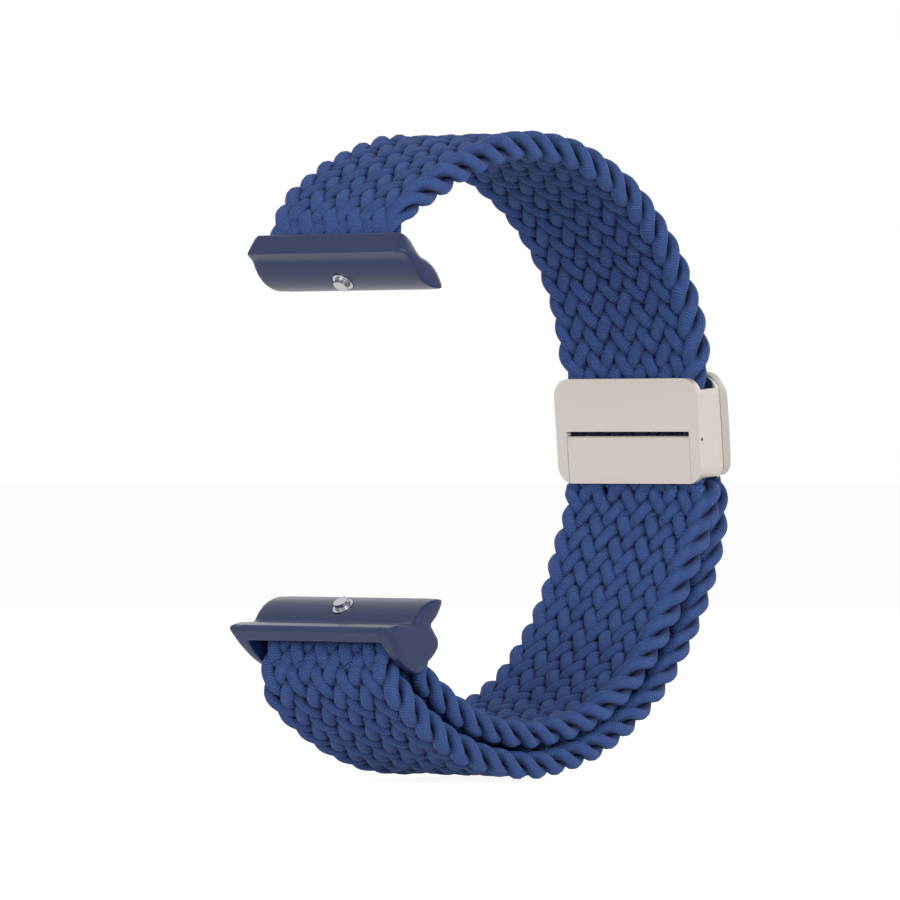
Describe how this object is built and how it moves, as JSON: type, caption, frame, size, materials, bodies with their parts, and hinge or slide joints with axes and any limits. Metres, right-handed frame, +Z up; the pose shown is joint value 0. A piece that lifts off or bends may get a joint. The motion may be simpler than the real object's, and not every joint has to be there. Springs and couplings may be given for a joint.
{
  "type": "watch strap",
  "caption": "Braided elastic watch strap with slide-in connectors, doubled back round a bar to a lever-locked slider clasp with a magnetic cover.",
  "frame": {"origin": "midway between the two connectors, at the middle of the seat that the watch case fills", "axes": "+X across the band, +Y from the watch's face towards the clasp, +Z up along the watch, from the lower connector to the upper one"},
  "size_m": [0.026, 0.0624, 0.0758],
  "materials": {
    "cord": "braided nylon over elastic",
    "connector": "moulded, satin",
    "clasp": "satin champagne coating",
    "steel": "satin",
    "magnet": "nickel plated"
  },
  "bodies": {
    "strap": {"upper_connector": "connector", "upper_latch_collar": "steel", "upper_latch_spring": "steel", "upper_end_pin": "steel", "band_upper_tab": "cord", "band_upper_run": "cord", "band_clasp_run": "cord", "band_inner_run": "cord", "band_turn": "cord", "band_outer_run": "cord"},
    "upper_latch": {"upper_latch_button": "steel"},
    "lower_lug": {"lower_connector": "connector", "lower_latch_collar": "steel", "lower_latch_spring": "steel"},
    "lower_latch": {"lower_latch_button": "steel"},
    "slider": {"slider_housing": "clasp", "keeper_plate": "steel", "lever_pin": "steel", "band_outer_tail": "cord"},
    "lever": {"lever": "clasp"},
    "cover": {"cover_shell": "clasp", "cover_liner": "clasp", "cover_magnets": "magnet", "cover_rivets": "steel", "band_outer_tab": "cord", "band_outer_end": "cord"}
  },
  "joints": [
    {"name": "clasp_slide", "type": "slide", "parent": "strap", "child": "slider", "axis": [0, -0.0872, 0.9962], "range_m": [-0.004, 0.004], "deforming": ["band_clasp_run", "band_outer_tail"]},
    {"name": "lever_hinge", "type": "hinge", "parent": "slider", "child": "lever", "pos_m": [0, 0.05144, 0.00057], "axis": [-1, 0, 0], "range_deg": [0, 80]},
    {"name": "cover_release", "type": "slide", "parent": "slider", "child": "cover", "axis": [0, 0.9962, 0.0872], "range_m": [0, 0.006], "deforming": ["band_outer_end"]},
    {"name": "lower_lug_swing", "type": "hinge", "parent": "strap", "child": "lower_lug", "pos_m": [0, 0.0012, -0.0254], "axis": [1, 0, 0], "range_deg": [-20, 20]},
    {"name": "upper_latch_press", "type": "slide", "parent": "strap", "child": "upper_latch", "axis": [0, 0.5878, 0.809], "range_m": [0, 0.0006], "stiffness_N_per_m": 200, "springref_m": -0.0004, "deforming": ["upper_latch_spring"]},
    {"name": "lower_latch_press", "type": "slide", "parent": "lower_lug", "child": "lower_latch", "axis": [0, 0.5878, -0.809], "range_m": [0, 0.0006], "stiffness_N_per_m": 200, "springref_m": -0.0004, "deforming": ["lower_latch_spring"]}
  ]
}
